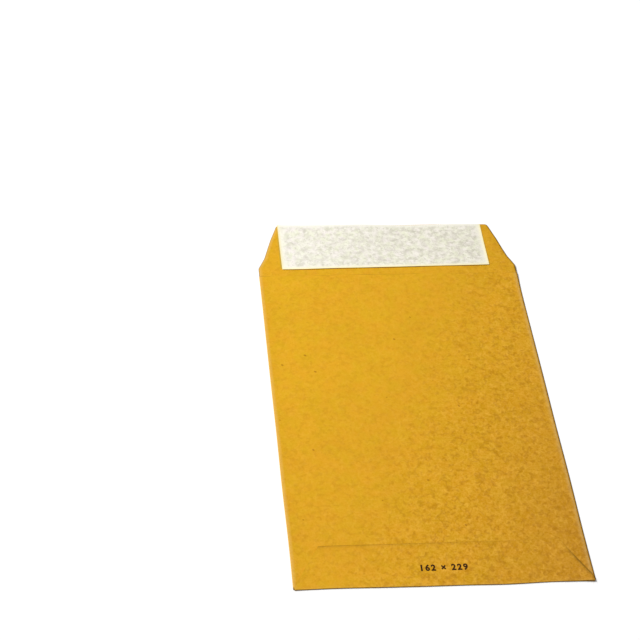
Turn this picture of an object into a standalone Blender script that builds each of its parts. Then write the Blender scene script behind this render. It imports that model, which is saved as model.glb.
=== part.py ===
"""Pocket envelope in C5 size, opened flat: a folded manila blank, its adhesive strip and the release liner.

Metres, +Z up. The address side lies on the ground, the closing flap points along +Y, and the origin is
the centre of the ground under the whole envelope. The blank is drawn as the flat sheet that a die cuts,
and is then folded: every point of the sheet is carried to its place in the folded envelope.
"""

import math

import bmesh
import bpy

MM = 0.001

# Paper
PAPER = 0.12 * MM
LAYER_GAP = 0.03 * MM

# Body, measured over its outer folds
BODY_WIDTH = 162 * MM
BODY_HEIGHT = 229 * MM
THROAT_DEPTH = 6.5 * MM
POCKET_GAPE = 0.8 * MM

# Closing flap, as insets from the body's side and heights above the flap's fold
FLAP_HEIGHT = 36.8 * MM
SHOULDER_INSET = 3.9 * MM
SHOULDER_HEIGHT = 8.4 * MM
WAIST_INSET = 8.2 * MM
WAIST_HEIGHT = 24.0 * MM
CORNER_INSET = 12.5 * MM
SHOULDER_START_RADIUS = 3.0 * MM
SHOULDER_END_RADIUS = 9.0 * MM
WAIST_RADIUS = 14.0 * MM
CORNER_RADIUS = 2.5 * MM

# Seam flap and back panel
SEAM_WIDTH = 16 * MM
SEAM_END_TAPER = 4 * MM
BACK_EDGE_SETBACK = 1.2 * MM
BACK_BOTTOM_SETBACK = 0.5 * MM

# Bottom flap, folded up over the back panel
BOTTOM_FLAP_HEIGHT = 26.2 * MM
BOTTOM_FLAP_STRAIGHT = 2.5 * MM
BOTTOM_FLAP_END_INSET = 15.4 * MM
BOTTOM_FLAP_SETBACK = 0.5 * MM

# Adhesive and liner
GLUE_GAP = 0.02 * MM
LINER_THICKNESS = 0.08 * MM
LINER_CORNER_CLEARANCE = 3.1 * MM
LINER_TOP_MARGIN = 0.3 * MM
LINER_FOLD_MARGIN = 0.1 * MM
CLOSURE_OFFSET = -0.8 * MM
ADHESIVE_THICKNESS = 0.04 * MM
ADHESIVE_END_INSET = 2 * MM
ADHESIVE_SIDE_INSET = 3.5 * MM

# Fineness of the mesh
BEND_STEPS = 6
ARC_STEPS = 5
BODY_ROWS = 14
POCKET_COLUMNS = 14
SAME_POINT = 0.001 * MM

# Heights of the middle of the sheet in each layer, and the radii of its folds
LAYER = PAPER + LAYER_GAP
FRONT_LEVEL = PAPER / 2
SIDE_FOLD_RADIUS = LAYER / 2
INNER_LEVEL = FRONT_LEVEL + LAYER
BACK_OVER_SEAM_LEVEL = INNER_LEVEL + LAYER
LARGEST_BOTTOM_RADIUS = (BACK_OVER_SEAM_LEVEL + LAYER - FRONT_LEVEL) / 2
SIDE_FOLD_ARC = math.pi * SIDE_FOLD_RADIUS
BOTTOM_FOLD_ARC = math.pi * LARGEST_BOTTOM_RADIUS

# Fold lines and edges, in the coordinates of the front panel: x from its middle, y from the bottom fold
RIGHT_FOLD = BODY_WIDTH / 2 - SIDE_FOLD_RADIUS - PAPER / 2
LEFT_FOLD = -RIGHT_FOLD
BOTTOM_FOLD = LARGEST_BOTTOM_RADIUS + PAPER / 2
FLAP_FOLD = BODY_HEIGHT
THROAT = BODY_HEIGHT - THROAT_DEPTH
BACK_BOTTOM = BOTTOM_FOLD + BACK_BOTTOM_SETBACK
BACK_FREE_EDGE = BODY_WIDTH / 2 - BACK_EDGE_SETBACK
SEAM_EDGE = RIGHT_FOLD - SEAM_WIDTH
BOTTOM_FLAP_HALF = RIGHT_FOLD - BOTTOM_FLAP_SETBACK
TOTAL_HEIGHT = BODY_HEIGHT + FLAP_HEIGHT

MANILA = (0.730, 0.371, 0.026, 1.0)
SILICONE_PAPER = (0.871, 0.855, 0.730, 1.0)
CLEAR_GLUE = (0.80, 0.76, 0.58, 1.0)


def clear_scene():
    for obj in list(bpy.data.objects):
        bpy.data.objects.remove(obj)


def steps(first, last, count):
    """count + 1 values from first to last."""
    return [first + (last - first) * i / count for i in range(count + 1)]


def smooth(value):
    """0 below 0, 1 above 1 and an S-curve between."""
    value = min(max(value, 0.0), 1.0)
    return value * value * (3 - 2 * value)


def rounded_corner(before, corner, after, radius):
    """The arc of this radius that rounds a corner of an outline, or the corner where radius is 0."""
    ways = []
    for end in (before, after):
        length = math.dist(corner, end)
        ways.append(((end[0] - corner[0]) / length, (end[1] - corner[1]) / length))
    opening = math.acos(ways[0][0] * ways[1][0] + ways[0][1] * ways[1][1])
    reach = radius / math.tan(opening / 2)
    centre_way = (ways[0][0] + ways[1][0], ways[0][1] + ways[1][1])
    scale = radius / math.sin(opening / 2) / math.hypot(*centre_way)
    centre = (corner[0] + centre_way[0] * scale, corner[1] + centre_way[1] * scale)
    arc = []
    for share in steps(0, 1, ARC_STEPS):
        x = corner[0] + (ways[0][0] * (1 - share) + ways[1][0] * share) * reach - centre[0]
        y = corner[1] + (ways[0][1] * (1 - share) + ways[1][1] * share) * reach - centre[1]
        stretch = radius / math.hypot(x, y)
        arc.append((centre[0] + x * stretch, centre[1] + y * stretch))
    return arc


def flap_side():
    """The closing flap's side from its fold up, as (inset from the fold line, height above the fold)."""
    corners = [
        (0.0, -SHOULDER_HEIGHT),
        (0.0, 0.0),
        (SHOULDER_INSET, SHOULDER_HEIGHT),
        (WAIST_INSET, WAIST_HEIGHT),
        (CORNER_INSET, FLAP_HEIGHT),
        (BODY_WIDTH / 2, FLAP_HEIGHT),
    ]
    radii = [SHOULDER_START_RADIUS, SHOULDER_END_RADIUS, WAIST_RADIUS, CORNER_RADIUS]
    side = []
    for i, radius in enumerate(radii):
        side += rounded_corner(corners[i], corners[i + 1], corners[i + 2], radius)
    return side


def body_columns():
    """x of the columns that the front panel, the bottom flap and the closing flap share."""
    middle = steps(-BOTTOM_FLAP_HALF, BOTTOM_FLAP_HALF, POCKET_COLUMNS)
    return [LEFT_FOLD, *middle, RIGHT_FOLD]


def body_rows():
    """y of the rows that the front panel, the back panel and the seam flap share."""
    return steps(BACK_BOTTOM, THROAT, BODY_ROWS)


def front_panel():
    rows = [BOTTOM_FOLD, *body_rows(), FLAP_FOLD + flap_side()[0][1]]
    return [[(x, y) for x in body_columns()] for y in rows]


def closing_flap():
    """Rows of the flap, whose columns draw in with its sides."""
    rows = []
    for inset, height in flap_side():
        narrowing = (RIGHT_FOLD - inset) / RIGHT_FOLD
        rows.append([(x * narrowing, FLAP_FOLD + height) for x in body_columns()])
    return rows


def back_panel():
    """The fold at the left and the panel beyond it, drawn flat to the left of the front panel."""
    across = steps(LEFT_FOLD, SEAM_EDGE, POCKET_COLUMNS) + [BACK_FREE_EDGE]
    flat = [2 * LEFT_FOLD - SIDE_FOLD_ARC - x for x in reversed(across)]
    fold = steps(LEFT_FOLD - SIDE_FOLD_ARC, LEFT_FOLD, BEND_STEPS)
    return [[(x, y) for x in flat + fold[1:]] for y in body_rows()]


def seam_flap():
    """The fold at the right and the narrow flap beyond it, whose ends taper to its free edge."""
    fold = steps(RIGHT_FOLD, RIGHT_FOLD + SIDE_FOLD_ARC, BEND_STEPS)
    edge = RIGHT_FOLD + SIDE_FOLD_ARC + SEAM_WIDTH
    middle = (BACK_BOTTOM + THROAT) / 2
    shortening = 1 - SEAM_END_TAPER / (THROAT - middle)
    rows = []
    for y in body_rows():
        rows.append([(x, y) for x in fold] + [(edge, middle + (y - middle) * shortening)])
    return rows


def bottom_flap():
    """The fold at the bottom and the flap beyond it, drawn flat below the front panel."""
    columns = body_columns()[1:-1]
    beyond = BOTTOM_FOLD - BOTTOM_FOLD_ARC
    fold = steps(beyond, BOTTOM_FOLD, BEND_STEPS)
    straight_end = beyond - (BOTTOM_FLAP_STRAIGHT - BOTTOM_FOLD)
    free_edge = beyond - (BOTTOM_FLAP_HEIGHT - BOTTOM_FOLD)
    edge_half = BODY_WIDTH / 2 - BOTTOM_FLAP_END_INSET
    rows = []
    for y in steps(free_edge, straight_end, ARC_STEPS):
        share = (y - free_edge) / (straight_end - free_edge)
        half = edge_half + (BOTTOM_FLAP_HALF - edge_half) * share
        rows.append([(x * half / BOTTOM_FLAP_HALF, y) for x in columns])
    for y in fold:
        rows.append([(x, y) for x in columns])
    return rows


def flat_blank():
    """The die-cut sheet before it is folded, as one flat mesh of quads."""
    sheet = bmesh.new()
    for rows in (front_panel(), closing_flap(), back_panel(), seam_flap(), bottom_flap()):
        points = [[sheet.verts.new((x, y, 0)) for x, y in row] for row in rows]
        for lower, upper in zip(points, points[1:]):
            for i in range(len(lower) - 1):
                sheet.faces.new((lower[i], lower[i + 1], upper[i + 1], upper[i]))
    bmesh.ops.remove_doubles(sheet, verts=sheet.verts, dist=SAME_POINT)
    return sheet


def back_level(x, y):
    """Height of the middle of the back panel: it climbs onto the seam flap, and gapes towards the throat."""
    share = min(max((x - LEFT_FOLD) / (SEAM_EDGE - LEFT_FOLD), 0.0), 1.0)
    along = (y - BOTTOM_FLAP_HEIGHT) / (THROAT - BOTTOM_FLAP_HEIGHT)
    gape = POCKET_GAPE * math.sin(math.pi * share) ** 2 * smooth(along)
    return INNER_LEVEL + LAYER * share + gape


def bent(distance, arc, radius):
    """(reach past the fold line, rise, sine, cosine) at this distance along a half-turn fold."""
    angle = math.pi * distance / arc
    return radius * math.sin(angle), radius * (1 - math.cos(angle)), math.sin(angle), math.cos(angle)


def folded(x, y):
    """(point, way to the paper's inner side) in the folded envelope, for a point of the flat sheet."""
    if x < LEFT_FOLD:
        distance = LEFT_FOLD - x
        if distance < SIDE_FOLD_ARC:
            reach, rise, sine, cosine = bent(distance, SIDE_FOLD_ARC, SIDE_FOLD_RADIUS)
            return (LEFT_FOLD - reach, y, FRONT_LEVEL + rise), (sine, 0, cosine)
        x = LEFT_FOLD + distance - SIDE_FOLD_ARC
        return (x, y, back_level(x, y)), (0, 0, -1)
    if x > RIGHT_FOLD:
        distance = x - RIGHT_FOLD
        if distance < SIDE_FOLD_ARC:
            reach, rise, sine, cosine = bent(distance, SIDE_FOLD_ARC, SIDE_FOLD_RADIUS)
            return (RIGHT_FOLD + reach, y, FRONT_LEVEL + rise), (-sine, 0, cosine)
        return (RIGHT_FOLD - distance + SIDE_FOLD_ARC, y, INNER_LEVEL), (0, 0, -1)
    if y < BOTTOM_FOLD:
        distance = BOTTOM_FOLD - y
        level = back_level(x, BACK_BOTTOM) + LAYER
        if distance < BOTTOM_FOLD_ARC:
            reach, rise, sine, cosine = bent(distance, BOTTOM_FOLD_ARC, (level - FRONT_LEVEL) / 2)
            return (x, BOTTOM_FOLD - reach, FRONT_LEVEL + rise), (0, sine, cosine)
        return (x, BOTTOM_FOLD + distance - BOTTOM_FOLD_ARC, level), (0, 0, -1)
    return (x, y, FRONT_LEVEL), (0, 0, 1)


def fold_blank(sheet):
    """The sheet folded and given its thickness: an inner face, an outer face and the cut edges."""
    solid = bmesh.new()
    inner = {}
    outer = {}
    for vert in sheet.verts:
        point, way = folded(vert.co.x, vert.co.y)
        inner[vert] = solid.verts.new([p + w * PAPER / 2 for p, w in zip(point, way)])
        outer[vert] = solid.verts.new([p - w * PAPER / 2 for p, w in zip(point, way)])
    for face in sheet.faces:
        solid.faces.new([inner[vert] for vert in face.verts])
        solid.faces.new([outer[vert] for vert in reversed(face.verts)])
    for edge in sheet.edges:
        if edge.is_boundary:
            loop = edge.link_loops[0]
            start, end = loop.vert, loop.link_loop_next.vert
            solid.faces.new((inner[end], inner[start], outer[start], outer[end]))
    return solid


def slab(half_width, low, high, bottom, thickness):
    """A thin rectangular strip across the flap, between two heights above its fold."""
    solid = bmesh.new()
    bmesh.ops.create_cube(solid, size=1)
    size = (2 * half_width, high - low, thickness)
    bmesh.ops.scale(solid, vec=size, verts=solid.verts)
    centre = (CLOSURE_OFFSET, FLAP_FOLD + (low + high) / 2, bottom + thickness / 2)
    bmesh.ops.translate(solid, vec=centre, verts=solid.verts)
    return solid


def material(name, colour, roughness):
    made = bpy.data.materials.new(name)
    made.use_nodes = True
    shader = made.node_tree.nodes["Principled BSDF"]
    shader.inputs["Base Color"].default_value = colour
    shader.inputs["Roughness"].default_value = roughness
    shader.inputs["Metallic"].default_value = 0.0
    return made


def add_object(name, solid, made, parent):
    mesh = bpy.data.meshes.new(name)
    solid.to_mesh(mesh)
    solid.free()
    mesh.materials.append(made)
    obj = bpy.data.objects.new(name, mesh)
    obj.parent = parent
    bpy.context.scene.collection.objects.link(obj)
    return obj


def add_folded_blank(parent):
    sheet = flat_blank()
    solid = fold_blank(sheet)
    sheet.free()
    add_object("folded_blank", solid, material("manila_kraft", MANILA, 0.85), parent)


def add_closure(parent):
    """The adhesive strip on the flap's inner face and the liner that covers it."""
    half = BODY_WIDTH / 2 - CORNER_INSET - LINER_CORNER_CLEARANCE
    low = LINER_FOLD_MARGIN
    high = FLAP_HEIGHT - LINER_TOP_MARGIN
    adhesive_bottom = PAPER + GLUE_GAP
    adhesive = slab(
        half - ADHESIVE_END_INSET,
        low + ADHESIVE_SIDE_INSET,
        high - ADHESIVE_SIDE_INSET,
        adhesive_bottom,
        ADHESIVE_THICKNESS,
    )
    add_object("adhesive_strip", adhesive, material("clear_glue", CLEAR_GLUE, 0.35), parent)
    liner_bottom = adhesive_bottom + ADHESIVE_THICKNESS + GLUE_GAP
    liner = slab(half, low, high, liner_bottom, LINER_THICKNESS)
    add_object("release_liner", liner, material("silicone_paper", SILICONE_PAPER, 0.45), parent)


def main():
    clear_scene()
    envelope = bpy.data.objects.new("envelope", None)
    envelope.location = (0, -TOTAL_HEIGHT / 2, 0)
    bpy.context.scene.collection.objects.link(envelope)
    add_folded_blank(envelope)
    add_closure(envelope)


main()
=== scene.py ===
"""Looks of a manila pocket envelope that lies closing side up with its flap open.

The folded blank, the adhesive strip and the release liner are built again as fine sheets that wave,
spring at their folds and lift at their edges as paper does, on the frame's own outline and levels.
"""

import math

import bmesh
import bpy
import numpy as np
from mathutils import Matrix, Vector


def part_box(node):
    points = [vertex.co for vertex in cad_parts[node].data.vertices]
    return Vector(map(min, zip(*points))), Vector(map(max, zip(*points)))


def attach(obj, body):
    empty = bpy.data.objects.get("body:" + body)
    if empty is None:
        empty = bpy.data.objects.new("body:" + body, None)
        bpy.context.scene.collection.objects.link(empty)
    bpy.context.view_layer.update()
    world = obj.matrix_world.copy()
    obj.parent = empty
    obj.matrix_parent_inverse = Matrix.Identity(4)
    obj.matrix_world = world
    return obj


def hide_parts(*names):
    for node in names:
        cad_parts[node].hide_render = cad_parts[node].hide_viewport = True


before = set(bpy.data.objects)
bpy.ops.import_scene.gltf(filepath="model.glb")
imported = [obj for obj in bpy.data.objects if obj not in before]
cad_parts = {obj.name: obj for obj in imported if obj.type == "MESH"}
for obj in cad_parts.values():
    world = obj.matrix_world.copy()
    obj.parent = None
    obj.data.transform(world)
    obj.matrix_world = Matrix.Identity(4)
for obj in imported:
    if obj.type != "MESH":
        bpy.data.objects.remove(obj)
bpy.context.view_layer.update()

MM = 0.001
BODY = "root"

# What the frame gives
blank_low, blank_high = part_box("folded_blank")
liner_low, liner_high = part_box("release_liner")
glue_low, glue_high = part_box("adhesive_strip")
HALF_WIDTH = (blank_high.x - blank_low.x) / 2
BOTTOM_EDGE = blank_low.y
TOP_EDGE = blank_high.y

# Construction, as in the CAD source
PAPER = 0.12 * MM
LAYER_GAP = 0.03 * MM
BODY_HEIGHT = 229 * MM
THROAT_DEPTH = 6.5 * MM
SEAM_WIDTH = 16 * MM
SEAM_END_TAPER = 4 * MM
BACK_EDGE_SETBACK = 1.2 * MM
BACK_BOTTOM_SETBACK = 0.5 * MM
BOTTOM_FLAP_HEIGHT = 26.2 * MM
BOTTOM_FLAP_STRAIGHT = 2.5 * MM
BOTTOM_FLAP_END_INSET = 15.4 * MM
BOTTOM_FLAP_SETBACK = 0.5 * MM
SHOULDER_INSET = 3.9 * MM
SHOULDER_HEIGHT = 8.4 * MM
WAIST_INSET = 8.2 * MM
WAIST_HEIGHT = 24.0 * MM
CORNER_INSET = 12.5 * MM
SHOULDER_START_RADIUS = 3.0 * MM
SHOULDER_END_RADIUS = 9.0 * MM
WAIST_RADIUS = 14.0 * MM
CORNER_RADIUS = 2.5 * MM

# How the paper lies: its springing folds, its gape and its waves
FOLD_SPRING = 0.18 * MM
FOLD_SPRING_REACH = 5 * MM
POCKET_GAPE = 0.55 * MM
BED_WAVE = 0.35 * MM
BED_EDGE_REACH = 25 * MM
FLAP_WAVE = 0.7 * MM
FLAP_WAVE_FULL_AT = 0.6
FLAP_WAVE_STRETCH = 0.5
FLAP_SWAY = 1.3 * MM
FLAP_DRAW = 0.4 * MM
BOTTOM_SAG = 1.5 * MM
BOTTOM_SAG_REACH = 50 * MM
BOTTOM_SAG_START = -0.93
BOTTOM_SAG_SPAN = 1.4
FOLD_RIDGE = 1.0 * MM
FOLD_RIDGE_REACH = 14 * MM
BACK_WAVE = 0.12 * MM
EDGE_WOBBLE = 0.28 * MM
SEAM_STEP_WIDTH = 6 * MM
LINER_WRINKLE = 0.08 * MM
LINER_WRINKLE_SHARE = 0.6
LINER_CRINKLE_SHARE = 0.4
LINER_WRINKLE_STRETCH = 0.7
LINER_EDGE_LIFT = 0.30 * MM
LINER_LIFT_UNEVEN = 0.6
LINER_EDGE_REACH = 3.0 * MM
LINER_EDGE_WOBBLE = 0.45 * MM
LINER_SKEW = 0.6 * MM
LINER_LEAN = 1.15 * MM
LINER_RIGHT_SHORT = 0.4 * MM
LINER_SPREAD = 0.55 * MM
FLAP_EDGE_LIFT = 0.10 * MM
FLAP_LEFT_LIFT = 0.10 * MM
FLAP_CORNER_LIFT = 0.50 * MM
FLAP_LIFT_REACH = 7 * MM
FLAP_LEFT_LIFT_START = 10 * MM
FLAP_LEFT_LIFT_SPAN = 50 * MM

# Waves by name: the seed of their draws and their length
WAVES = {
    "bed": (11, 120 * MM),
    "flap": (5, 55 * MM),
    "back": (23, 38 * MM),
    "side edges": (31, 60 * MM),
    "end edges": (37, 50 * MM),
    "strip lift": (41, 30 * MM),
    "strip wrinkle": (43, 9 * MM),
    "strip crinkle": (47, 5 * MM),
    "strip low cut": (53, 70 * MM),
    "strip high cut": (59, 60 * MM),
    "throat soil": (61, 14 * MM),
}
WAVE_COUNT = 7
WAVE_SHORTEST = 0.7
WAVE_LONGEST = 1.5

# Plain numerals printed on the bottom flap: the envelope's width and height in millimetres
NUMERALS = "162 \u00d7 229"
NUMERALS_SIZE = 4.9 * MM
NUMERALS_SPACING = 1.30
NUMERALS_BOLD = 0.23 * MM
NUMERALS_HEIGHT = 11.0 * MM
INK_THICKNESS = 0.012 * MM
INK_LIFT = 0.012 * MM
LETTER_STEPS = 4

# Fineness of the meshes
SHEET_CELL = 1.5 * MM
RIM_WIDTH = 0.55 * MM
SEAM_START = 1.5 * MM
SEAM_START_STEPS = 5
SEAM_CELL = 2 * SHEET_CELL
GLUE_CELL = 2 * SHEET_CELL
LINER_CELL = 0.8 * MM
BEND_STEPS = 8
ARC_STEPS = 8
SAME_POINT = 0.002 * MM
SHARP_ANGLE = math.radians(45)

# How dark the folds and edges are, by painted shade and shadow and by dirt on cut edges, and how far it
# reaches
SIDE_FOLD_SHADE = 0.9
BOTTOM_FOLD_SHADE = 0.9
CLOSING_SIDE_SHADE = 0.85
CLOSING_SIDE_SHADE_HAZE = 0.12
THROAT_SOIL = 0.5
BACK_EDGE_SOIL = 0.15
CORNER_SHADOW = 1.0
CORNER_SHADOW_START = 0.1
CORNER_SHADOW_RISE = 0.4
LEFT_SLANT_SOIL = 0.05
FLAP_TOP_SHADOW_LEFT = 0.55
FLAP_TOP_SHADOW_RIGHT = 0.10
FLAP_TOP_SHADOW_START = -60 * MM
FLAP_TOP_SHADOW_SPAN = 130 * MM
SIDE_LINE_WIDTH = 0.5 * MM
BOTTOM_LINE_WIDTH = 0.30 * MM
LINE_FADE = 0.35 * MM
EDGE_LINE_REACH = 0.6 * MM
CORNER_SHADOW_REACH = 0.6 * MM
HAZE_REACH = 5 * MM

# Wear with painted highlight, and faded paper, along the folds
LEFT_HIGHLIGHT_FADE = 1.3 * MM
BEND_HIGHLIGHT = 0.3
FADED_LINE_PLACE = 1.2 * MM
FADED_LINE_REACH = 0.8 * MM

# Painted shadow lines where one sheet's edge lies on another: width, and strength at both ends
LINE_SHADOW_WIDTH = 0.5 * MM
LINE_SHADOW_FADE = 0.6 * MM
LINER_SHADOW = (0.75, 0.3)
SLANT_SHADOW = (0.9, 0.1)

# Places on the sheets that their materials read
LINER_PLAIN_END = 5 * MM
LINER_PLAIN_SIDE = 3 * MM
LINER_RIM_REACH = 0.8 * MM
OTHER_FACE = 40 * MM

# Levels and fold lines
LAYER = PAPER + LAYER_GAP
FRONT_LEVEL = PAPER / 2
INNER_LEVEL = FRONT_LEVEL + LAYER
SIDE_FOLD_RADIUS = (LAYER + FOLD_SPRING) / 2
SIDE_FOLD_ARC = math.pi * SIDE_FOLD_RADIUS
LARGEST_BOTTOM_RADIUS = (3 * LAYER + 2 * FOLD_SPRING) / 2
BOTTOM_FOLD_ARC = math.pi * LARGEST_BOTTOM_RADIUS
RIGHT_FOLD = HALF_WIDTH - SIDE_FOLD_RADIUS - PAPER / 2
LEFT_FOLD = -RIGHT_FOLD
BOTTOM_FOLD = BOTTOM_EDGE + LARGEST_BOTTOM_RADIUS + PAPER / 2
FLAP_FOLD = BOTTOM_EDGE + BODY_HEIGHT
FLAP_HEIGHT = TOP_EDGE - FLAP_FOLD
THROAT = FLAP_FOLD - THROAT_DEPTH
BACK_BOTTOM = BOTTOM_FOLD + BACK_BOTTOM_SETBACK
BACK_FREE_EDGE = HALF_WIDTH - BACK_EDGE_SETBACK
SEAM_EDGE = RIGHT_FOLD - SEAM_WIDTH
BOTTOM_FLAP_HALF = RIGHT_FOLD - BOTTOM_FLAP_SETBACK
BOTTOM_FLAP_TOP = BOTTOM_EDGE + BOTTOM_FLAP_HEIGHT

# The photograph's camera, fitted to the envelope's corners
VIEW_AZIMUTH = math.radians(12.04)
VIEW_ELEVATION = math.radians(47.95)
VIEW_ROLL = math.radians(8.04)
VIEW_DISTANCE = 925.1 * MM
VIEW_TARGET = Vector((-47.2 * MM, 53.6 * MM, 0))
LENS = 86.86
SENSOR_WIDTH = 36
CLIP_START = 0.01
CLIP_END = 20

# The studio's light and floor
WORLD_STRENGTH = 0.36
KEY_FROM = (-0.80, 0.25, 1.0)
KEY_STRENGTH = 2.45
KEY_SPREAD = math.radians(10)
FILL_PLACE = (-0.45, 0.35, 0.5)
FILL_SIZE = (0.3, 0.3)
FILL_POWER = 1.5
FLOOR_HALF = 12.0
FLOOR_ROUGHNESS = 0.9

# Colours, linear
MANILA = (0.665, 0.340, 0.0110)
MANILA_GREEN = (0.630, 0.350, 0.0085)
MANILA_ORANGE = (0.695, 0.318, 0.0150)
# Painted shade: the kraft darker to the right and to the bottom, where the light falls off
MANILA_FALLOFF_SHADE = (0.490, 0.224, 0.0140)
MANILA_FLECK = (0.270, 0.092, 0.0005)
MANILA_FIBRE = (0.860, 0.475, 0.065)
# Painted shade and shadow lines, and dirt on cut edges
MANILA_SHADE_AND_DIRT = (0.075, 0.040, 0.0015)
# Wear with painted highlight
MANILA_WORN_HIGHLIGHT = (0.750, 0.435, 0.092)
MANILA_FADED = (0.620, 0.415, 0.150)
GRAIN_DARK = (0.90, 0.865, 0.14)
GRAIN_PALE = (1.10, 1.135, 1.90)
# Painted light tints: greener towards the top, bluer towards the bottom
TOP_PAINTED_LIGHT_TINT = (1.02, 1.054, 0.93)
BOTTOM_PAINTED_LIGHT_TINT = (0.99, 0.987, 1.05)
# Painted shadow line beside the liner's left edge
MANILA_LINE_SHADOW = (0.40, 0.31, 0.050)
LINER_WHITE = (0.905, 0.890, 0.795)
LINER_LILAC = (0.865, 0.808, 0.775)
LINER_GREEN = (0.800, 0.815, 0.635)
LINER_SHADE = (0.575, 0.555, 0.470)
LINER_RIM = (0.950, 0.840, 0.400)
# Painted light and shade: the liner lighter at its left, darker at its right
LINER_LEFT_PAINTED_LIGHT = (1.01, 1.00, 0.99)
LINER_RIGHT_PAINTED_SHADE = (0.90, 0.885, 0.85)
GLUE = (0.72, 0.68, 0.52)
INK = (0.026, 0.009, 0.003)
FLOOR = (0.96, 0.96, 0.96)

# Kraft paper's noises: sizes, and how strongly each shows
TINT_SIZE = 9 * MM
CLOUD_SIZE = 16 * MM
CLOUD_STRENGTH = 0.025
FORMATION_SIZE = 2.4 * MM
FORMATION_STRENGTH = 0.29
FORMATION_DEPTH = 0.08 * MM
GRAIN_SIZE = 0.9 * MM
GRAIN_STRENGTH = 0.42
GRAIN_DEPTH = 0.035 * MM
PALE_STROKE_SIZE = 3.3 * MM
PALE_STROKE_WIDTH = 0.12
PALE_STROKE_STRENGTH = 0.22
DARK_STROKE_SIZE = 3.6 * MM
DARK_STROKE_PLACE = 70 * MM
DARK_STROKE_WIDTH = 0.14
DARK_STROKE_STRENGTH = 0.26
FLECK_SPACING = 7 * MM
FLECK_SHARE = 0.5
FLECK_LARGEST = 0.11
FLECK_STRENGTH = 0.55
FLECK_SOFTNESS = 0.03
FLECK_TURN = 0.9
FLECK_SCALE = (1.0, 0.7, 1.0)
KRAFT_ROUGHNESS = (0.68, 0.82)
KRAFT_SPECULAR = 0.12

# Strokes of both papers: the size of their breaks beside their own, and the noise values of the breaks
BREAK_SIZE = 0.9
BREAK_START = 0.47
BREAK_END = 0.60

# How strongly the kraft's wear with painted highlight, its fading, and its painted shade with dirt show,
# where its noise is low and where it is high
WEAR_AND_HIGHLIGHT_STRENGTH = (0.55, 1.00)
FADED_STRENGTH = (0.45, 0.90)
SHADE_AND_SOIL_STRENGTH = (0.70, 1.00)

# How the kraft's painted shade, painted light tint and texture change over the sheet
FALLOFF_SHADE_AT_TOP = 0.25
TOP_LIGHT_TINT_FULL_AT = 20 * MM
TEXTURE_SLANT = 0.42
TEXTURE_RISE_START = -4 * MM
TEXTURE_RISE_END = 45 * MM
TEXTURE_LEAST = 0.52
TEXTURE_MOST = 1.30
TEXTURE_FALL_START = 68 * MM
TEXTURE_FALL_END = 88 * MM
TEXTURE_FALL = 0.15
TEXTURE_LOWER_GAIN = 0.14

# Release paper's noises: sizes, and how strongly each shows
MOTTLE_SIZE = 3.0 * MM
MOTTLE_STRENGTH = 0.9
MOTTLE_DEPTH = 0.07 * MM
FINE_SIZE = 1.0 * MM
FINE_STRENGTH = 0.03
FINE_DEPTH = 0.02 * MM
LINER_CLOUD_SIZE = 11 * MM
BLOTCH_SIZE = 4.5 * MM
PATCH_SIZE = 4.6 * MM
PATCH_STRENGTH = 0.55
WHITE_STROKE_SIZE = 2.8 * MM
WHITE_STROKE_PLACE = 20 * MM
WHITE_STROKE_STRENGTH = 0.9
SHADE_STROKE_SIZE = 3.1 * MM
SHADE_STROKE_PLACE = 90 * MM
SHADE_STROKE_STRENGTH = 0.7
LINER_STROKE_WIDTH = 0.06
STUCK_LEAST = 0.70
STUCK_MOST = 1.25
STUCK_LEAST_AT = -0.8
STUCK_MOST_AT = 0.4
LINER_ROUGHNESS = (0.40, 0.56)
LINER_SPECULAR = 0.35

# Glue and ink
STREAK_SIZE = 1.5 * MM
STREAK_DEPTH = 0.01 * MM
STREAK_SHADE = 0.85
STREAK_SCALE = (0.2, 1.0, 1.0)
GLUE_ROUGHNESS = 0.28
INK_WEAR_SIZE = 0.4 * MM
INK_WEAR = 0.5
INK_ROUGHNESS = 0.6
INK_SPECULAR = 0.1

# How far most of a noise's values lie from its middle
NOISE_SPAN = 0.2
CORE_SPAN = 0.15


def steps(first, last, count):
    """Evenly spaced values from first to last, both included."""
    return [float(value) for value in np.linspace(first, last, count + 1)]


def cells(first, last, size):
    """Even steps of about this size."""
    return steps(first, last, max(1, round(abs(last - first) / size)))


def smooth(value):
    """0 below 0, 1 above 1, and an even rise between."""
    value = np.clip(value, 0.0, 1.0)
    return value * value * (3 - 2 * value)


def waves(x, y, name):
    """Soft irregular waves within -1 to 1: plane waves of many directions."""
    seed, length = WAVES[name]
    rng = np.random.default_rng(seed)
    total = 0.0
    for _ in range(WAVE_COUNT):
        angle = rng.uniform(0, math.pi)
        number = 2 * math.pi / (length * rng.uniform(WAVE_SHORTEST, WAVE_LONGEST))
        phase = rng.uniform(0, 2 * math.pi)
        total = total + np.sin(number * (x * math.cos(angle) + y * math.sin(angle)) + phase)
    return total / WAVE_COUNT


def bed(x, y):
    """How high the lowest sheet lies above the ground: its flap waves, and its fold rises at the right."""
    from_edge = np.minimum(HALF_WIDTH - np.abs(x), y - BOTTOM_EDGE)
    body = BED_WAVE * (1 + waves(x, y, "bed")) / 2 * smooth(from_edge / BED_EDGE_REACH)
    share = smooth((y - THROAT) / (FLAP_FOLD + FLAP_HEIGHT * FLAP_WAVE_FULL_AT - THROAT))
    flap = FLAP_WAVE * (1 + waves(x, y * FLAP_WAVE_STRETCH, "flap")) / 2
    ridge = FOLD_RIDGE * smooth((x + HALF_WIDTH / 4) / HALF_WIDTH)
    return body + flap * share + ridge * np.exp(-((y - FLAP_FOLD) / FOLD_RIDGE_REACH) ** 2)


def spring(distance):
    """How much a fold holds its layers apart, at this distance from it."""
    return FOLD_SPRING * np.exp(-np.maximum(distance, 0) / FOLD_SPRING_REACH)


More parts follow.
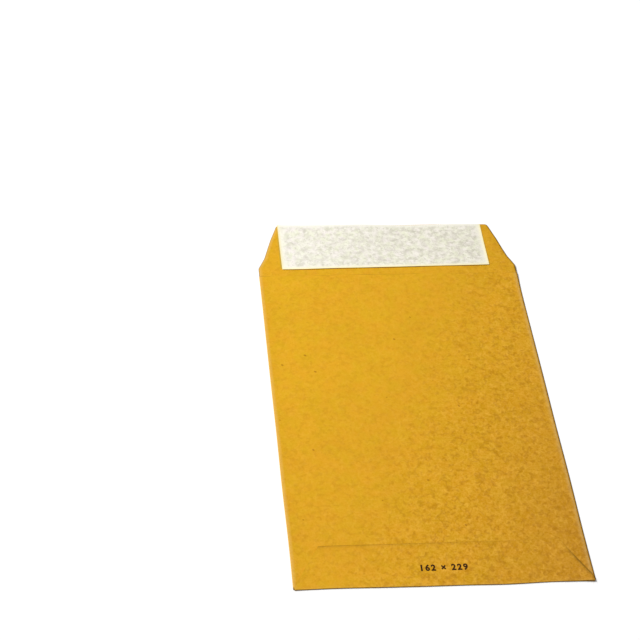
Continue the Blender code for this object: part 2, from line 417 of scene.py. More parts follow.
def back_level(x, y):
    """Height of the middle of the back panel above the bed."""
    on_seam = smooth((x - (SEAM_EDGE - SEAM_STEP_WIDTH)) / SEAM_STEP_WIDTH)
    across = np.clip((x - LEFT_FOLD) / (SEAM_EDGE - LEFT_FOLD), 0, 1)
    along = smooth((y - BOTTOM_FLAP_TOP) / (THROAT - BOTTOM_FLAP_TOP))
    free = np.sin(math.pi * across) ** 2
    gape = POCKET_GAPE * free * along
    wave = BACK_WAVE * (1 + waves(x, y, "back")) * free
    held_apart = spring(x - LEFT_FOLD) + spring(RIGHT_FOLD - x)
    return INNER_LEVEL + LAYER * on_seam + gape + wave + held_apart


def slant_inset(y):
    """How far the bottom flap's slanting ends lie inside its full width, at this place."""
    straight_top = BOTTOM_EDGE + BOTTOM_FLAP_STRAIGHT
    share = np.clip((y - straight_top) / (BOTTOM_FLAP_TOP - straight_top), 0, 1)
    return share * (BOTTOM_FLAP_HALF - (HALF_WIDTH - BOTTOM_FLAP_END_INSET))


def bottom_flap_level(x, y):
    """Height of the middle of the bottom flap above the bed: glued on the back panel, its edges lifting."""
    near_top = smooth(1 - (BOTTOM_FLAP_TOP - y) / FLAP_LIFT_REACH)
    near_right_slant = smooth(1 - (BOTTOM_FLAP_HALF - slant_inset(y) - x) / FLAP_LIFT_REACH)
    left_part = smooth((FLAP_LEFT_LIFT_START - x) / FLAP_LEFT_LIFT_SPAN)
    lift = (FLAP_EDGE_LIFT + FLAP_LEFT_LIFT * left_part) * near_top + FLAP_CORNER_LIFT * near_right_slant
    return back_level(x, y) + LAYER + spring(y - BOTTOM_FOLD) + lift


def folded(x, y):
    """(points, ways to the paper's inner side) in the folded envelope, for points of the flat sheet."""
    point = np.stack([x, y, np.full_like(x, FRONT_LEVEL)], axis=1)
    way = np.zeros_like(point)
    way[:, 2] = 1

    for side, fold_line in ((-1, LEFT_FOLD), (1, RIGHT_FOLD)):
        distance = side * (x - fold_line)
        bend = (distance > 0) & (distance < SIDE_FOLD_ARC)
        angle = math.pi * distance[bend] / SIDE_FOLD_ARC
        point[bend, 0] = fold_line + side * SIDE_FOLD_RADIUS * np.sin(angle)
        point[bend, 2] = FRONT_LEVEL + SIDE_FOLD_RADIUS * (1 - np.cos(angle))
        way[bend, 0] = -side * np.sin(angle)
        way[bend, 2] = np.cos(angle)
        panel = distance >= SIDE_FOLD_ARC
        across = fold_line - side * (distance[panel] - SIDE_FOLD_ARC)
        point[panel, 0] = across
        if side < 0:
            point[panel, 2] = back_level(across, y[panel])
        else:
            point[panel, 2] = INNER_LEVEL + spring(RIGHT_FOLD - across)
        way[panel, 2] = -1

    distance = BOTTOM_FOLD - y
    level = bottom_flap_level(x, np.full_like(x, BOTTOM_FOLD))
    bend = (distance > 0) & (distance < BOTTOM_FOLD_ARC)
    angle = math.pi * distance[bend] / BOTTOM_FOLD_ARC
    radius = (level[bend] - FRONT_LEVEL) / 2
    point[bend, 1] = BOTTOM_FOLD - radius * np.sin(angle)
    point[bend, 2] = FRONT_LEVEL + radius * (1 - np.cos(angle))
    way[bend, 1] = np.sin(angle)
    way[bend, 2] = np.cos(angle)
    panel = distance >= BOTTOM_FOLD_ARC
    along = BOTTOM_FOLD + distance[panel] - BOTTOM_FOLD_ARC
    point[panel, 1] = along
    point[panel, 2] = bottom_flap_level(x[panel], along)
    way[panel, 2] = -1
    return point, way


def laid(point):
    """Points of the flat-lying envelope, moved as paper moves that was cut and folded a little askew."""
    x, y = point[:, 0].copy(), point[:, 1].copy()
    moved = point.copy()
    moved[:, 2] += bed(x, y)
    up_flap = np.clip((y - FLAP_FOLD) / FLAP_HEIGHT, 0, 1)
    moved[:, 0] += (FLAP_SWAY - FLAP_DRAW * x / HALF_WIDTH) * up_flap
    moved[:, 0] += EDGE_WOBBLE * waves(x * 0, y, "side edges") * x / HALF_WIDTH
    moved[:, 1] += EDGE_WOBBLE * waves(x, y * 0, "end edges") * y / TOP_EDGE
    rightward = smooth((x / HALF_WIDTH - BOTTOM_SAG_START) / BOTTOM_SAG_SPAN)
    moved[:, 1] -= BOTTOM_SAG * rightward * (1 - smooth((y - BOTTOM_EDGE) / BOTTOM_SAG_REACH))
    return moved


def rounded_corner(before, corner, after, radius):
    """The arc that rounds a corner of an outline."""
    corner = np.array(corner)
    ways = [(np.array(end) - corner) / math.dist(end, corner) for end in (before, after)]
    opening = math.acos(float(ways[0] @ ways[1]))
    middle = ways[0] + ways[1]
    centre = corner + middle / np.linalg.norm(middle) * radius / math.sin(opening / 2)
    reach = radius / math.tan(opening / 2)
    arc = []
    for share in steps(0, 1, ARC_STEPS):
        spoke = corner + (ways[0] * (1 - share) + ways[1] * share) * reach - centre
        arc.append(tuple(centre + spoke * radius / np.linalg.norm(spoke)))
    return arc


def flap_side():
    """The closing flap's side from below its fold up, as (inset, height above the fold)."""
    corners = [
        (0.0, -SHOULDER_HEIGHT),
        (0.0, 0.0),
        (SHOULDER_INSET, SHOULDER_HEIGHT),
        (WAIST_INSET, WAIST_HEIGHT),
        (CORNER_INSET, FLAP_HEIGHT),
        (HALF_WIDTH, FLAP_HEIGHT),
    ]
    radii = [SHOULDER_START_RADIUS, SHOULDER_END_RADIUS, WAIST_RADIUS, CORNER_RADIUS]
    side = []
    for i, radius in enumerate(radii):
        side += rounded_corner(corners[i], corners[i + 1], corners[i + 2], radius)
    return side


def flap_rows():
    """The flap's side with rows between the points of its outline where they lie far apart."""
    side = flap_side()
    rows = [side[0]]
    for before, after in zip(side, side[1:]):
        count = max(1, round((after[1] - before[1]) / SHEET_CELL))
        for share in steps(0, 1, count)[1:]:
            inset = before[0] + (after[0] - before[0]) * share
            height = before[1] + (after[1] - before[1]) * share
            rows.append((inset, height))
    return rows


def sheet_patches():
    """The flat sheet's five panels, each as rows of points; panels meet in the same points."""
    inner_half = BOTTOM_FLAP_HALF - RIM_WIDTH
    middle_columns = [-BOTTOM_FLAP_HALF, *cells(-inner_half, inner_half, SHEET_CELL), BOTTOM_FLAP_HALF]
    columns = [LEFT_FOLD, *middle_columns, RIGHT_FOLD]
    rows = [*cells(BACK_BOTTOM, THROAT - RIM_WIDTH, SHEET_CELL), THROAT]
    flap = flap_rows()
    shoulder = FLAP_FOLD + flap[0][1]

    front_rows = [BOTTOM_FOLD, *rows, *cells(THROAT, shoulder, SHEET_CELL)[1:]]
    front = [[(x, y) for x in columns] for y in front_rows]

    closing = []
    for inset, height in flap:
        narrowing = (RIGHT_FOLD - inset) / RIGHT_FOLD
        closing.append([(x * narrowing, FLAP_FOLD + height) for x in columns])

    middle = cells(LEFT_FOLD + RIM_WIDTH, BACK_FREE_EDGE - RIM_WIDTH, SHEET_CELL)
    across = [LEFT_FOLD, *middle, BACK_FREE_EDGE]
    panel = [2 * LEFT_FOLD - SIDE_FOLD_ARC - x for x in reversed(across)]
    fold = steps(LEFT_FOLD - SIDE_FOLD_ARC, LEFT_FOLD, BEND_STEPS)
    back = [[(x, y) for x in panel + fold[1:]] for y in rows]

    fold = steps(RIGHT_FOLD, RIGHT_FOLD + SIDE_FOLD_ARC, BEND_STEPS)
    beyond = [*steps(0, SEAM_START, SEAM_START_STEPS)[1:-1], *cells(SEAM_START, SEAM_WIDTH, SEAM_CELL)]
    half_way = (BACK_BOTTOM + THROAT) / 2
    seam = []
    for y in rows:
        line = [(x, y) for x in fold]
        for distance in beyond:
            shortening = 1 - SEAM_END_TAPER / (THROAT - half_way) * distance / SEAM_WIDTH
            line.append((fold[-1] + distance, half_way + (y - half_way) * shortening))
        seam.append(line)

    fold = steps(BOTTOM_FOLD - BOTTOM_FOLD_ARC, BOTTOM_FOLD, BEND_STEPS)
    straight_end = fold[0] - (BOTTOM_EDGE + BOTTOM_FLAP_STRAIGHT - BOTTOM_FOLD)
    free_edge = fold[0] - (BOTTOM_FLAP_TOP - BOTTOM_FOLD)
    edge_half = HALF_WIDTH - BOTTOM_FLAP_END_INSET
    bottom = []
    for y in [free_edge, *cells(free_edge + RIM_WIDTH, straight_end, SHEET_CELL)]:
        share = (y - free_edge) / (straight_end - free_edge)
        half = edge_half + (BOTTOM_FLAP_HALF - edge_half) * share
        bottom.append([(x * half / BOTTOM_FLAP_HALF, y) for x in middle_columns])
    for y in [*cells(straight_end, fold[0] - RIM_WIDTH, SHEET_CELL)[1:], *fold]:
        bottom.append([(x, y) for x in middle_columns])
    return front, closing, back, seam, bottom


def joined(patches):
    """(flat points, quads) of patches whose shared points are made one."""
    points, quads = [], []
    for rows in patches:
        wide = len(rows[0])
        index = len(points) + np.arange(len(rows) * wide).reshape(len(rows), wide)
        points += [point for row in rows for point in row]
        quad = np.stack([index[:-1, :-1], index[:-1, 1:], index[1:, 1:], index[1:, :-1]], axis=-1)
        quads.append(quad.reshape(-1, 4))
    points = np.array(points)
    keys = np.round(points / SAME_POINT).astype(np.int64)
    _, first, index = np.unique(keys, axis=0, return_index=True, return_inverse=True)
    return points[first], index.reshape(-1)[np.concatenate(quads)]


def free_edges(quads):
    """The edges that only one quad has, as (start, end) in that quad's order."""
    ends = np.concatenate([quads[:, [i, (i + 1) % 4]] for i in range(4)])
    _, index, uses = np.unique(np.sort(ends, axis=1), axis=0, return_inverse=True, return_counts=True)
    rim = ends[uses[index.reshape(-1)] == 1]
    return rim[:, 0], rim[:, 1]


def closed_sheet(name, inner, outer, quads):
    """A closed mesh from a sheet's two faces, with a wall along each free edge."""
    count = len(inner)
    start, end = free_edges(quads)
    walls = np.stack([end, start, start + count, end + count], axis=1)
    faces = np.concatenate([quads, quads[:, ::-1] + count, walls])
    mesh = bpy.data.meshes.new(name)
    mesh.from_pydata(np.concatenate([inner, outer]).tolist(), [], faces.tolist())
    mesh.validate()
    mesh.shade_smooth()
    mesh.set_sharp_from_angle(angle=SHARP_ANGLE)
    obj = bpy.data.objects.new(name, mesh)
    bpy.context.scene.collection.objects.link(obj)
    return obj


def paint(obj, name, values):
    """A number at every point of both faces of the sheet, which its material reads."""
    layer = obj.data.attributes.new(name, "FLOAT", "POINT")
    layer.data.foreach_set("value", np.tile(values, 2).astype(np.float32))


def paint_sheet_place(obj, flat):
    """Where each point lies in the sheet before it is folded; the two faces get places of their own."""
    place = np.zeros((2, len(flat), 3), np.float32)
    place[:, :, :2] = flat
    place[1, :, 2] = OTHER_FACE
    layer = obj.data.attributes.new("sheet_place", "FLOAT_VECTOR", "POINT")
    layer.data.foreach_set("vector", place.reshape(-1))


def folded_paper():
    """The envelope's one sheet, cut, folded and laid down."""
    flat, quads = joined(sheet_patches())
    point, way = folded(flat[:, 0], flat[:, 1])
    inner = laid(point + way * PAPER / 2)
    outer = laid(point - way * PAPER / 2)
    obj = closed_sheet("folded_paper", inner, outer, quads)
    # Wear with painted highlight on the folds
    paint(obj, "worn_and_highlit", wear_and_highlight(flat))
    paint(obj, "faded", fading(flat))
    # Painted shade and shadow lines of the folds and flaps, with dirt on the cut edges
    paint(obj, "shade_and_soil", np.maximum.reduce([edge_soil(flat, quads), flap_shade_and_soil(flat), fold_shade(flat)]))
    paint_sheet_place(obj, flat)
    return obj


def near(distance, reach):
    """1 at a line, fading with the distance from it."""
    return np.exp(-np.maximum(distance, 0) / reach)


def band(distance, width, fade):
    """1 as far as this width from a line, then fading to 0."""
    return 1 - smooth((distance - width) / fade)


def from_flap_side(x, y):
    """How far a point of the closing flap lies inside the flap's right side."""
    side = flap_side()
    inset = np.interp(y - FLAP_FOLD, [height for _, height in side], [inset for inset, _ in side])
    return RIGHT_FOLD - inset - x


def wear_and_highlight(flat):
    """How much wear and painted highlight lighten the left fold, the closing flap's left side and the bottom
    fold's upper bend.
    """
    x, y = flat[:, 0], flat[:, 1]
    # Wear with painted highlight on the left fold and the closing flap's left side, weaker on the bottom
    # fold's upper bend
    left = band(np.abs(LEFT_FOLD - x - SIDE_FOLD_ARC / 2), SIDE_LINE_WIDTH, LEFT_HIGHLIGHT_FADE)
    beside_flap = band(from_flap_side(-x, y), SIDE_LINE_WIDTH, LEFT_HIGHLIGHT_FADE)
    on_bend = band(np.abs(BOTTOM_FOLD - y - BOTTOM_FOLD_ARC), LINE_FADE, LINE_FADE)
    return np.maximum.reduce([left, np.where(y > THROAT, beside_flap, 0), BEND_HIGHLIGHT * on_bend])


def fading(flat):
    """How faded the paper is beside the right fold: on the seam flap and at the back panel's free edge."""
    x = flat[:, 0]
    on_seam = band(np.abs(x - RIGHT_FOLD - SIDE_FOLD_ARC - FADED_LINE_PLACE), 0, FADED_LINE_REACH)
    on_back = near(x - np.min(x), EDGE_LINE_REACH)
    return np.maximum(on_seam, on_back)


def fold_shade(flat):
    """How dark the right fold and the bottom fold are painted: painted shade on their sides that turn from
    the light.
    """
    from_right = np.abs(flat[:, 0] - RIGHT_FOLD - SIDE_FOLD_ARC / 2)
    from_bottom = np.abs(BOTTOM_FOLD - flat[:, 1] - BOTTOM_FOLD_ARC / 2)
    # Painted shade on the sides of the right fold and the bottom fold
    right = SIDE_FOLD_SHADE * band(from_right, SIDE_LINE_WIDTH, LINE_FADE)
    bottom = BOTTOM_FOLD_SHADE * band(from_bottom, BOTTOM_LINE_WIDTH, LINE_FADE)
    return np.maximum(right, bottom)


def edge_soil(flat, quads):
    """How soiled the cut edges are: the back panel's and the throat's less than the others."""
    x, y = flat[:, 0], flat[:, 1]
    shade_and_soil = np.zeros(len(flat))
    shade_and_soil[free_edges(quads)[0]] = 1
    shade_and_soil[x < np.min(x) + SAME_POINT] = BACK_EDGE_SOIL
    in_pocket = np.abs(x) > RIGHT_FOLD + SAME_POINT
    broken = THROAT_SOIL * smooth(0.5 + waves(x, y * 0, "throat soil"))
    shade_and_soil = np.where(in_pocket & (y > THROAT - SAME_POINT), broken, shade_and_soil)
    return np.where(y < BOTTOM_FOLD, 0, shade_and_soil)


def flap_shade_and_soil(flat):
    """How dark the flaps are painted near their edges: painted shade along the closing flap's right side,
    painted shadow lines along the glued flap's top, most at its top left, and along its right slant, most at
    the corner, and a little dirt along its left slant.
    """
    x, y = flat[:, 0], flat[:, 1]
    from_side = from_flap_side(x, y)
    # Painted shade along the closing flap's right side, with a wider haze
    side_line = CLOSING_SIDE_SHADE * band(from_side, SIDE_LINE_WIDTH, LINE_FADE)
    side_shade_haze = CLOSING_SIDE_SHADE_HAZE * near(from_side, HAZE_REACH)
    closing = np.where(y > THROAT, np.maximum(side_line, side_shade_haze), 0)

    up = 2 * BOTTOM_FOLD - BOTTOM_FOLD_ARC - y
    # Painted shadow line along the glued flap's top edge, strongest at its left
    to_right = smooth((x - FLAP_TOP_SHADOW_START) / FLAP_TOP_SHADOW_SPAN)
    top_shadow = FLAP_TOP_SHADOW_LEFT + (FLAP_TOP_SHADOW_RIGHT - FLAP_TOP_SHADOW_LEFT) * to_right
    on_top = top_shadow * near(BOTTOM_FLAP_TOP - up, EDGE_LINE_REACH)
    # Painted shadow line along the glued flap's right slant, strongest towards the corner; a little dirt
    # along its left slant
    from_slant = BOTTOM_FLAP_HALF - slant_inset(up) - np.abs(x)
    down = np.clip((BOTTOM_FLAP_TOP - up) / BOTTOM_FLAP_HEIGHT, 0, 1)
    to_corner = smooth((down - CORNER_SHADOW_START) / CORNER_SHADOW_RISE)
    on_right = CORNER_SHADOW * to_corner * near(from_slant, CORNER_SHADOW_REACH)
    on_left = LEFT_SLANT_SOIL * near(from_slant, EDGE_LINE_REACH)
    glued = np.maximum(on_top, np.where(x > 0, on_right, on_left))
    return np.where(y < BOTTOM_FOLD - BOTTOM_FOLD_ARC, glued, closing)


def numerals():
    """The numerals as a thin film of ink that follows the bottom flap's surface."""
    letters = bpy.data.curves.new("letters", "FONT")
    letters.body = NUMERALS
    letters.size = NUMERALS_SIZE
    letters.space_character = NUMERALS_SPACING
    letters.offset = NUMERALS_BOLD
    letters.align_x = "CENTER"
    letters.align_y = "CENTER"
    letters.extrude = INK_THICKNESS / 2
    letters.resolution_u = LETTER_STEPS
    maker = bpy.data.objects.new("letters", letters)
    bpy.context.scene.collection.objects.link(maker)
    evaluated = maker.evaluated_get(bpy.context.evaluated_depsgraph_get())
    mesh = bpy.data.meshes.new_from_object(evaluated)
    bpy.data.objects.remove(maker)

    shape = bmesh.new()
    shape.from_mesh(mesh)
    bmesh.ops.remove_doubles(shape, verts=shape.verts, dist=INK_THICKNESS / 10)
    shape.to_mesh(mesh)
    shape.free()
    flat = np.zeros(3 * len(mesh.vertices))
    mesh.vertices.foreach_get("co", flat)
    flat = flat.reshape(-1, 3)
    x = flat[:, 0]
    y = flat[:, 1] + BOTTOM_EDGE + NUMERALS_HEIGHT
    surface = bottom_flap_level(x, y) + PAPER / 2 + INK_LIFT
    mesh.vertices.foreach_set("co", laid(np.stack([x, y, surface + flat[:, 2]], axis=1)).reshape(-1))
    mesh.name = "size_numerals"
    obj = bpy.data.objects.new("size_numerals", mesh)
    bpy.context.scene.collection.objects.link(obj)
    return obj


def strip_grid(low, high, cell):
    """(flat points, quads) of a rectangle."""
    columns = cells(low.x, high.x, cell)
    rows = cells(low.y, high.y, cell)
    return joined([[[(x, y) for x in columns] for y in rows]])


def adhesive():
    """The thin film of adhesive on the closing flap, under the release liner."""
    flat, quads = strip_grid(glue_low, glue_high, GLUE_CELL)
    x, y = flat[:, 0], flat[:, 1]
    inner = laid(np.stack([x, y, np.full_like(x, glue_high.z)], axis=1))
    outer = laid(np.stack([x, y, np.full_like(x, glue_low.z)], axis=1))
    return closed_sheet("adhesive_film", inner, outer, quads)


def liner():
    """The release liner: held down by the adhesive, wrinkled, cut askew, and lifting past the adhesive."""
    flat, quads = strip_grid(liner_low, liner_high, LINER_CELL)
    x, y = flat[:, 0], flat[:, 1]
    from_middle = (x - (liner_low.x + liner_high.x) / 2) / ((liner_high.x - liner_low.x) / 2)
    past_side = np.maximum(np.maximum(glue_low.x - x, x - glue_high.x), 0)
    past_low = np.maximum(glue_low.y - y, 0)
    past_high = np.maximum(y - glue_high.y, 0)
    past = past_side + past_low + past_high
    uneven = 1 + LINER_LIFT_UNEVEN * waves(x, y, "strip lift")
    lift = LINER_EDGE_LIFT * smooth(past / LINER_EDGE_REACH) * uneven
    wrinkle = LINER_WRINKLE_SHARE * waves(x, y * LINER_WRINKLE_STRETCH, "strip wrinkle")
    crinkle = LINER_CRINKLE_SHARE * waves(x, y, "strip crinkle")
    level = liner_low.z + lift + LINER_WRINKLE * (1 + wrinkle + crinkle) / 2
    thickness = liner_high.z - liner_low.z

    upward = (y - liner_low.y) / (liner_high.y - liner_low.y)
    low_cut = LINER_SKEW * (from_middle - 1) + LINER_EDGE_WOBBLE * waves(x, y * 0, "strip low cut")
    high_cut = -LINER_SKEW / 2 * from_middle - LINER_EDGE_WOBBLE * waves(x, y * 0, "strip high cut")
    cut = y + low_cut * (1 - upward) + high_cut * upward
    shortening = LINER_RIGHT_SHORT * (1 + from_middle) / 2
    leaning = (LINER_SPREAD * from_middle - LINER_LEAN) * upward
    across = x - shortening + leaning
    outer = laid(np.stack([across, cut, level], axis=1))
    inner = laid(np.stack([across, cut, level + thickness], axis=1))
    obj = closed_sheet("release_strip", inner, outer, quads)

    from_end = np.minimum(x - liner_low.x, liner_high.x - x) / LINER_PLAIN_END
    from_side = np.minimum(y - liner_low.y, liner_high.y - y) / LINER_PLAIN_SIDE
    paint(obj, "stuck", smooth(np.minimum(from_end, from_side)))
    from_edge = np.minimum(np.minimum(x - liner_low.x, liner_high.x - x), y - liner_low.y)
    paint(obj, "rim", near(from_edge, LINER_RIM_REACH))
    paint_sheet_place(obj, flat)
    return obj


def node(tree, kind, **settings):
    """A new node of this kind with its settings."""
    made = tree.nodes.new(kind)
    for name, value in settings.items():
        setattr(made, name, value)
    return made


def plug(tree, source, target):
    """Links an output to an input."""
    tree.links.new(source, target)


def rgba(colour):
    """An opaque colour for a socket."""
    return (*colour, 1.0)


def new_material(name):
    """(material, its node tree, its shader, object coordinates)."""
    made = bpy.data.materials.new(name)
    made.use_nodes = True
    tree = made.node_tree
    shader = tree.nodes["Principled BSDF"]
    place = tree.nodes.new("ShaderNodeTexCoord").outputs["Object"]
    return made, tree, shader, place


def turned_and_scaled(tree, place, turn=0.0, scale=(1.0, 1.0, 1.0)):
    """Coordinates turned about Z, then scaled along each axis."""
    turned = node(tree, "ShaderNodeMapping")
    turned.inputs["Rotation"].default_value = (0, 0, turn)
    plug(tree, place, turned.inputs["Vector"])
    scaled = node(tree, "ShaderNodeMapping")
    scaled.inputs["Scale"].default_value = scale
    plug(tree, turned.outputs["Vector"], scaled.inputs["Vector"])
    return scaled.outputs["Vector"]


def noise(tree, place, size, detail=2.0, roughness=0.5):
    """Noise whose blobs are about this wide, in metres."""
    made = node(tree, "ShaderNodeTexNoise")
    made.inputs["Scale"].default_value = 1 / size
    made.inputs["Detail"].default_value = detail
    made.inputs["Roughness"].default_value = roughness
    plug(tree, place, made.inputs["Vector"])
    return made.outputs["Fac"]


def remap(tree, value, low, high, to_low=0.0, to_high=1.0):
    """A number carried from one range to another, held at its ends."""
    made = node(tree, "ShaderNodeMapRange")
    made.inputs["From Min"].default_value = low
    made.inputs["From Max"].default_value = high
    made.inputs["To Min"].default_value = to_low
    made.inputs["To Max"].default_value = to_high
    plug(tree, value, made.inputs["Value"])
    return made.outputs["Result"]


def around(tree, value, to_low, to_high, span=NOISE_SPAN):
    """A noise carried from the span about its middle to another range."""
    return remap(tree, value, 0.5 - span, 0.5 + span, to_low, to_high)


def math_node(tree, operation, first, second):
    """A number from two; each is a number or a socket."""
    made = node(tree, "ShaderNodeMath", operation=operation)
    for value, socket in ((first, made.inputs[0]), (second, made.inputs[1])):
        if isinstance(value, (int, float)):
            socket.default_value = value
        else:
            plug(tree, value, socket)
    return made.outputs["Value"]


def mixed(tree, factor, first, second, blend="MIX"):
    """A colour mix; a colour is a triple or a socket."""
    made = node(tree, "ShaderNodeMix", data_type="RGBA", blend_type=blend)
    factor_socket = made.inputs["Factor"]
    if isinstance(factor, (int, float)):
        factor_socket.default_value = factor
    else:
        plug(tree, factor, factor_socket)
    for value, socket in ((first, made.inputs["A"]), (second, made.inputs["B"])):
        colour_socket = [s for s in made.inputs if s.name == socket.name and s.type == "RGBA"][0]
        if isinstance(value, tuple):
            colour_socket.default_value = rgba(value)
        else:
            plug(tree, value, colour_socket)
    return [s for s in made.outputs if s.type == "RGBA"][0]


def grey(tree, value):
    """A number as a grey colour."""
    made = node(tree, "ShaderNodeCombineColor")
    for socket in ("Red", "Green", "Blue"):
        plug(tree, value, made.inputs[socket])
    return made.outputs["Color"]


def bump(tree, shader, layers):
    """Bumps in a chain, each (height, depth in metres)."""
    normal = None
    for height, depth in layers:
        made = node(tree, "ShaderNodeBump")
        made.inputs["Distance"].default_value = depth
        made.inputs["Strength"].default_value = 1.0
        plug(tree, height, made.inputs["Height"])
        if normal is not None:
            plug(tree, normal, made.inputs["Normal"])
        normal = made.outputs["Normal"]
    plug(tree, normal, shader.inputs["Normal"])


def attribute(tree, name, output="Fac"):
    """What was painted on the mesh under this name."""
    return node(tree, "ShaderNodeAttribute", attribute_name=name).outputs[output]


def times(tree, first, second):
    """The product of two numbers."""
    return math_node(tree, "MULTIPLY", first, second)


def plus(tree, first, second):
    """The sum of two numbers."""
    return math_node(tree, "ADD", first, second)


def distance_between(tree, first, second):
    """How far two numbers lie apart."""
    return math_node(tree, "ABSOLUTE", math_node(tree, "SUBTRACT", first, second), 0)


def axes(tree, place):
    """The X, Y and Z outputs of some coordinates."""
    made = node(tree, "ShaderNodeSeparateXYZ")
    plug(tree, place, made.inputs["Vector"])
    return made.outputs["X"], made.outputs["Y"], made.outputs["Z"]


def scaled_by(tree, colour, value):
    """A colour times a number that varies around 1."""
    return mixed(tree, 1.0, colour, grey(tree, value), "MULTIPLY")


def strokes(tree, place, size, offset, width):
    """Broken curly strokes, 1 on their middle: where a noise of this size crosses its own middle."""
    shifted = node(tree, "ShaderNodeMapping")
    shifted.inputs["Location"].default_value = (offset, -offset, 0)
    plug(tree, place, shifted.inputs["Vector"])
    where = shifted.outputs["Vector"]
    from_middle = distance_between(tree, noise(tree, where, size, 1.0), 0.5)
    line = remap(tree, from_middle, 0.0, width, 1.0, 0.0)
    broken = remap(tree, noise(tree, where, BREAK_SIZE * size, 1.0), BREAK_START, BREAK_END)
    return times(tree, line, broken)


def specks(tree, place, spacing, share, largest):
    """Round specks: how many cells hold one, and the largest radius as a share of the spacing."""
    cells_of = node(tree, "ShaderNodeTexVoronoi")
    cells_of.inputs["Scale"].default_value = 1 / spacing
    plug(tree, place, cells_of.inputs["Vector"])
    chosen = node(tree, "ShaderNodeSeparateColor")
    plug(tree, cells_of.outputs["Color"], chosen.inputs["Color"])
    radius = remap(tree, chosen.outputs["Red"], 1 - share, 1.0, 0.0, largest)
    inside = math_node(tree, "SUBTRACT", radius, cells_of.outputs["Distance"])
    return remap(tree, inside, 0.0, FLECK_SOFTNESS)


def manila_material():
    """Kraft paper: cloudy sheet, fine grain, curly fibres, dark flecks, dirty cut edges, folds with wear and
    painted highlight, painted shade and shadow lines, and painted shade across the sheet.
    """
    made, tree, shader, place = new_material("manila_kraft_paper")
    sheet = attribute(tree, "sheet_place", "Vector")
    x, y, _ = axes(tree, place)
    formation = noise(tree, sheet, FORMATION_SIZE, 4.0, 0.6)
    grain = noise(tree, sheet, GRAIN_SIZE, 3.0, 0.65)
    texture = texture_strength(tree, x, y)
    pale = times(tree, strokes(tree, sheet, PALE_STROKE_SIZE, 0.0, PALE_STROKE_WIDTH), texture)

    colour = manila_ground(tree, sheet, x, y)
    speckle = plus(
        tree,
        around(tree, formation, -FORMATION_STRENGTH, FORMATION_STRENGTH),
        around(tree, grain, -GRAIN_STRENGTH, GRAIN_STRENGTH),
    )
    speckle = plus(tree, times(tree, speckle, texture), 0.5)
    cloud = noise(tree, sheet, CLOUD_SIZE, 3.0)
    colour = scaled_by(tree, colour, around(tree, cloud, 1 - CLOUD_STRENGTH, 1 + CLOUD_STRENGTH))
    colour = mixed(tree, 1.0, colour, mixed(tree, speckle, GRAIN_DARK, GRAIN_PALE), "MULTIPLY")
    colour = manila_fibres(tree, sheet, colour, pale, texture)
    colour = manila_wear_and_shade(tree, sheet, colour, formation, grain)
    plug(tree, colour, shader.inputs["Base Color"])

    plug(tree, around(tree, formation, *KRAFT_ROUGHNESS), shader.inputs["Roughness"])
    shader.inputs["Specular IOR Level"].default_value = KRAFT_SPECULAR
    bump(tree, shader, [(formation, FORMATION_DEPTH), (grain, GRAIN_DEPTH), (pale, GRAIN_DEPTH)])
    return made


def manila_ground(tree, sheet, x, y):
    """The kraft's plain colour: greener and more orange in places, with painted shade darker to the right and
    to the bottom, and a painted light tint greener towards the top.
    """
    tinge = around(tree, noise(tree, sheet, TINT_SIZE, 2.0), 0.0, 1.0, CORE_SPAN)
    colour = mixed(tree, 0.5, mixed(tree, tinge, MANILA_GREEN, MANILA_ORANGE), MANILA)
    # Painted shade: darker to the right and to the bottom, where the light falls off
    rightward = remap(tree, x, -HALF_WIDTH, HALF_WIDTH)
    downward = remap(tree, y, TOP_EDGE, BOTTOM_EDGE, FALLOFF_SHADE_AT_TOP, 1.0)
    falloff_shade = times(tree, times(tree, rightward, rightward), downward)
    colour = mixed(tree, falloff_shade, colour, MANILA_FALLOFF_SHADE)
    # Painted light tint: greener towards the top
    tint = mixed(tree, remap(tree, y, BOTTOM_EDGE, TOP_LIGHT_TINT_FULL_AT), BOTTOM_PAINTED_LIGHT_TINT, TOP_PAINTED_LIGHT_TINT)
    return mixed(tree, 1.0, colour, tint, "MULTIPLY")


def texture_strength(tree, x, y):
    """How strongly the kraft's texture shows: little at the left, most beyond a slanting line."""
    slanting = math_node(tree, "SUBTRACT", x, times(tree, y, TEXTURE_SLANT))
    rise = remap(tree, slanting, TEXTURE_RISE_START, TEXTURE_RISE_END, TEXTURE_LEAST, TEXTURE_MOST)
    fall = remap(tree, slanting, TEXTURE_FALL_START, TEXTURE_FALL_END, 0.0, -TEXTURE_FALL)
    lower = remap(tree, y, 0.0, BOTTOM_EDGE, 0.0, TEXTURE_LOWER_GAIN)
    return plus(tree, rise, plus(tree, fall, lower))


def manila_fibres(tree, sheet, colour, pale, texture):
    """Pale and dark curly fibres and round flecks over the kraft's colour."""
    dark = strokes(tree, sheet, DARK_STROKE_SIZE, DARK_STROKE_PLACE, DARK_STROKE_WIDTH)
    dark = times(tree, dark, texture)
    colour = mixed(tree, times(tree, pale, PALE_STROKE_STRENGTH), colour, MANILA_FIBRE)
    colour = mixed(tree, times(tree, dark, DARK_STROKE_STRENGTH), colour, MANILA_FLECK)
    turned = turned_and_scaled(tree, sheet, FLECK_TURN, FLECK_SCALE)
    fleck = specks(tree, turned, FLECK_SPACING, FLECK_SHARE, FLECK_LARGEST)
    return mixed(tree, times(tree, fleck, FLECK_STRENGTH), colour, MANILA_FLECK)


